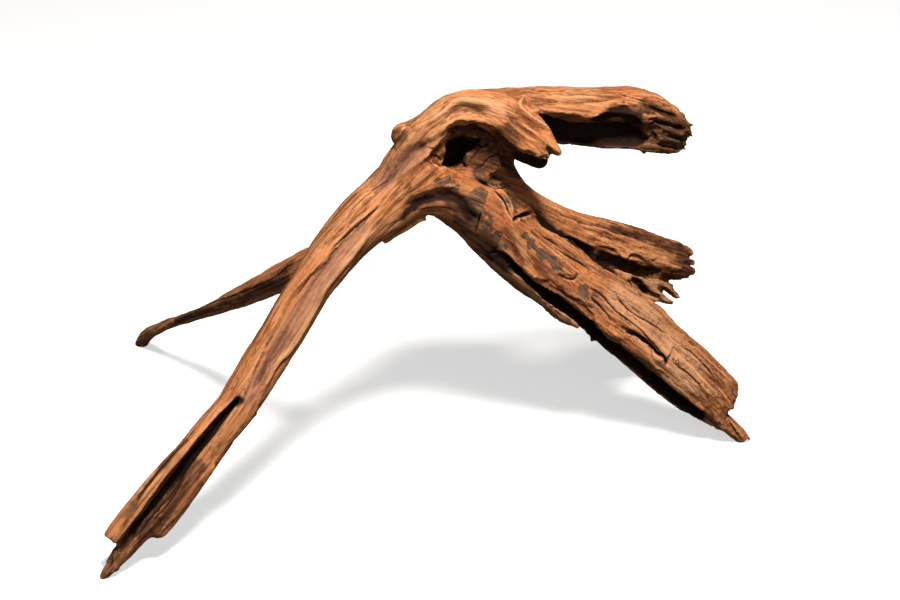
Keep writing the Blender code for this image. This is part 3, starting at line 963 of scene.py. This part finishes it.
def finish_wood(material):
    """Dull weathered wood whose streaks follow the grain."""
    material.use_nodes = True
    nodes = material.node_tree.nodes
    links = material.node_tree.links
    shader = nodes["Principled BSDF"]

    def node(kind, **settings):
        made = nodes.new(kind)
        for key, value in settings.items():
            setattr(made, key, value)
        return made

    def feed(socket, value):
        if hasattr(value, "links"):
            links.new(value, socket)
        else:
            socket.default_value = value

    def maths(operation, first, second=0.5, third=0.0):
        made = node("ShaderNodeMath", operation=operation)
        feed(made.inputs[0], first)
        feed(made.inputs[1], second)
        feed(made.inputs[2], third)
        return made.outputs[0]

    def mixed(share, first, second):
        made = node("ShaderNodeMix", data_type="RGBA")
        feed(made.inputs[0], share)
        feed(made.inputs[6], first)
        feed(made.inputs[7], second)
        return made.outputs[2]

    def stored(name):
        return node("ShaderNodeAttribute", attribute_name=name)

    def between(value, low, high):
        made = node("ShaderNodeMapRange", clamp=True)
        feed(made.inputs["Value"], value)
        made.inputs["From Min"].default_value = low
        made.inputs["From Max"].default_value = high
        return made.outputs["Result"]

    place = node("ShaderNodeTexCoord").outputs["Object"]
    grain = stored("grain").outputs["Vector"]

    def drawn_out(scale, gap, count):
        """Noise drawn out along the grain: the sum of its values at a row of places this far apart."""
        total = None
        for number in range(count):
            shifted = node("ShaderNodeVectorMath", operation="MULTIPLY_ADD")
            links.new(grain, shifted.inputs[0])
            shifted.inputs[1].default_value = ((number - (count - 1) / 2) * gap * MM,) * 3
            links.new(place, shifted.inputs[2])
            speck = node("ShaderNodeTexNoise", noise_dimensions="3D")
            links.new(shifted.outputs[0], speck.inputs["Vector"])
            speck.inputs["Scale"].default_value = scale
            speck.inputs["Detail"].default_value = 0
            value = speck.outputs["Fac"]
            total = value if total is None else maths("ADD", total, value)
        return total

    # Hairs and strands of fibre, and the fine drying checks between them.
    hair = between(drawn_out(820, 0.95, 15), 6.7, 8.3)
    strand = between(drawn_out(430, 1.2, 33), 15.2, 17.8)
    off_line = maths("ABSOLUTE", maths("SUBTRACT", drawn_out(270, 1.9, 13), 6.5))
    drying_check = maths("MULTIPLY", between(off_line, 0.10, 0.03), stored("checked").outputs["Fac"])

    # The body of the wood: brown, redder in the middle, with its mauve bands and its pale bands, which are
    # partly bleached and partly painted highlight.
    tone = maths("MULTIPLY", stored("streak").outputs["Fac"], 0.62)
    tone = maths("MULTIPLY_ADD", hair, 0.30, tone)
    tone = maths("MULTIPLY_ADD", strand, 0.28, tone)
    ramp = node("ShaderNodeValToRGB")
    links.new(tone, ramp.inputs["Fac"])
    ramp.color_ramp.elements[0].position = 0.30
    ramp.color_ramp.elements[0].color = (0.16, 0.056, 0.022, 1)
    ramp.color_ramp.elements[1].position = 0.85
    ramp.color_ramp.elements[1].color = (0.62, 0.275, 0.115, 1)
    body = ramp.color_ramp.elements.new(0.55)
    body.color = (0.38, 0.148, 0.057, 1)
    ruddy = maths("MULTIPLY", stored("ruddy").outputs["Fac"], 0.75)
    red = mixed(tone, (0.13, 0.034, 0.014, 1), (0.50, 0.148, 0.042, 1))
    tinted = mixed(ruddy, ramp.outputs["Color"], red)
    mauve = mixed(tone, (0.15, 0.055, 0.034, 1), (0.36, 0.165, 0.105, 1))
    tinted = mixed(maths("MULTIPLY", stored("heartwood").outputs["Fac"], 0.7), tinted, mauve)
    tinted = mixed(maths("MULTIPLY", stored("bleached_and_lit").outputs["Fac"], 0.45), tinted, (0.74, 0.40, 0.22, 1))

    # Scraps of bark, with ragged edges.
    bark_tone = mixed(hair, (0.045, 0.026, 0.017, 1), (0.13, 0.078, 0.052, 1))
    flaking = node("ShaderNodeTexNoise", noise_dimensions="3D")
    links.new(place, flaking.inputs["Vector"])
    flaking.inputs["Scale"].default_value = 130
    flaking.inputs["Detail"].default_value = 5
    clinging = maths("MULTIPLY_ADD", flaking.outputs["Fac"], 4.0, -1.0)
    bark = between(maths("MULTIPLY", clinging, stored("bark").outputs["Fac"]), 0.68, 0.78)
    colour = mixed(maths("MULTIPLY", bark, 0.9), tinted, bark_tone)

    # Edges and ridges made paler, partly by wear and partly as painted highlight where the light catches
    # them.
    pale = between(stored("edge_proudness").outputs["Fac"], 0.08, 0.55)
    colour = mixed(maths("MULTIPLY", pale, 0.55), colour, (0.72, 0.345, 0.16, 1))
    frayed_ridge = maths("MULTIPLY_ADD", strand, 1.0, stored("ridge_proudness").outputs["Fac"])
    proud = between(frayed_ridge, 0.7, 2.5)
    colour = mixed(maths("MULTIPLY", proud, 0.35), colour, (0.62, 0.29, 0.125, 1))

    # Damp stains with painted shade, then dirt with painted shade in hollows, painted shade in the
    # cracks, and painted shade where little sky is seen and in the deepest places.
    # Damp stains and painted shade: the patches are darkened, broken up by the strands.
    damp_and_shade_tone = mixed(tone, (0.016, 0.006, 0.003, 1), (0.10, 0.037, 0.016, 1))
    damp_and_shade_share = between(maths("MULTIPLY_ADD", strand, -0.5, stored("damp_and_shade").outputs["Fac"]), -0.25, 0.65)
    damp_and_shade_share = maths("MULTIPLY", damp_and_shade_share, stored("damp_and_shade").outputs["Fac"])
    colour = mixed(maths("MULTIPLY", damp_and_shade_share, 0.9), colour, damp_and_shade_tone)
    # Dirt and painted shade: creases and hollows are darkened.
    crease_dirt_and_shade = between(stored("edge_proudness").outputs["Fac"], -0.02, -0.45)
    colour = mixed(maths("MULTIPLY", crease_dirt_and_shade, 0.75), colour, (0.045, 0.017, 0.008, 1))
    hollow_dirt_and_shade = between(frayed_ridge, 0.2, -2.0)
    colour = mixed(maths("MULTIPLY", hollow_dirt_and_shade, 0.6), colour, (0.085, 0.030, 0.013, 1))
    # Painted shade: the cut cracks are painted near black for the shade inside them.
    colour = mixed(maths("MULTIPLY", stored("crack_shade").outputs["Fac"], 0.9), colour, (0.02, 0.008, 0.004, 1))
    colour = mixed(maths("MULTIPLY", drying_check, 0.8), colour, (0.03, 0.012, 0.006, 1))
    # Painted shade: spots that see little sky past the wood are darkened nearly to black.
    painted_sky_shade = between(maths("MULTIPLY_ADD", strand, 0.22, stored("openness").outputs["Fac"]), 0.23, 0.73)
    colour = mixed(painted_sky_shade, (0.018, 0.007, 0.004, 1), colour)
    # Painted shade: the deepest hollows, channels and undersides are painted near black.
    colour = mixed(stored("deep_shade").outputs["Fac"], colour, (0.018, 0.007, 0.004, 1))
    links.new(colour, shader.inputs["Base Color"])

    # A dull surface with the fibres just standing up.
    links.new(between(hair, -3.0, 1.6), shader.inputs["Roughness"])
    shader.inputs["Specular IOR Level"].default_value = 0.12
    bump = node("ShaderNodeBump")
    bump.inputs["Strength"].default_value = 0.45
    bump.inputs["Distance"].default_value = 0.5 * MM
    raised = maths("MULTIPLY_ADD", bark, 0.8, maths("MULTIPLY_ADD", drying_check, -1.6, hair))
    links.new(raised, bump.inputs["Height"])
    links.new(bump.outputs["Normal"], shader.inputs["Normal"])


finish_wood(WOOD_FINISH)
wood.data.materials.clear()
wood.data.materials.append(WOOD_FINISH)
wood.data.shade_smooth()
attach(wood, "root")
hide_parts("driftwood")


# ---------------------------------------------------------------------------------------------
# The studio: a plain pale floor, a large soft lamp overhead and a weak one in front, and the
# camera that looks down on the good side.
# ---------------------------------------------------------------------------------------------


def studio_floor():
    """A wide pale sheet under the wood."""
    bm = bmesh.new()
    bmesh.ops.create_grid(bm, x_segments=1, y_segments=1, size=6)
    mesh = bpy.data.meshes.new("floor")
    bm.to_mesh(mesh)
    bm.free()
    floor = bpy.data.objects.new("floor", mesh)
    bpy.context.scene.collection.objects.link(floor)
    material = bpy.data.materials.new("pale_floor")
    material.use_nodes = True
    shader = material.node_tree.nodes["Principled BSDF"]
    shader.inputs["Base Color"].default_value = (0.86, 0.86, 0.85, 1)
    shader.inputs["Roughness"].default_value = 0.9
    shader.inputs["Emission Color"].default_value = (1, 1, 1, 1)
    shader.inputs["Emission Strength"].default_value = 0.55
    mesh.materials.append(material)
    floor.visible_diffuse = False
    floor.visible_glossy = False


def studio_lamp(name, place, aim, size, power, colour):
    """A square soft lamp at a place, turned towards a point."""
    lamp = bpy.data.lights.new(name, "AREA")
    lamp.size = size
    lamp.energy = power
    lamp.color = colour
    holder = bpy.data.objects.new(name, lamp)
    holder.location = place
    holder.rotation_euler = (Vector(aim) - Vector(place)).to_track_quat("-Z", "Y").to_euler()
    bpy.context.scene.collection.objects.link(holder)


studio_floor()
studio_lamp("overhead_lamp", place=(0.16, -0.66, 1.70), aim=(0.02, 0, 0.2), size=0.32, power=45,
            colour=(1, 0.96, 0.90))
studio_lamp("front_lamp", place=(0.8, -1.6, 1.0), aim=(0, 0, 0.15), size=1.2, power=5.5,
            colour=(1, 0.98, 0.96))

world = bpy.data.worlds.new("studio")
world.use_nodes = True
world.node_tree.nodes["Background"].inputs["Color"].default_value = (1, 1, 1, 1)
world.node_tree.nodes["Background"].inputs["Strength"].default_value = 0.10
bpy.context.scene.world = world
bpy.context.scene.view_settings.view_transform = "Standard"

camera = bpy.data.objects.new("camera", bpy.data.cameras.new("camera"))
camera.data.lens = 85
camera.data.sensor_width = 36
camera.location = (0.018, -1.6792, 1.0508)
camera.rotation_euler = (math.radians(90) - FACE_TILT, 0, 0)
bpy.context.scene.collection.objects.link(camera)
bpy.context.scene.camera = camera
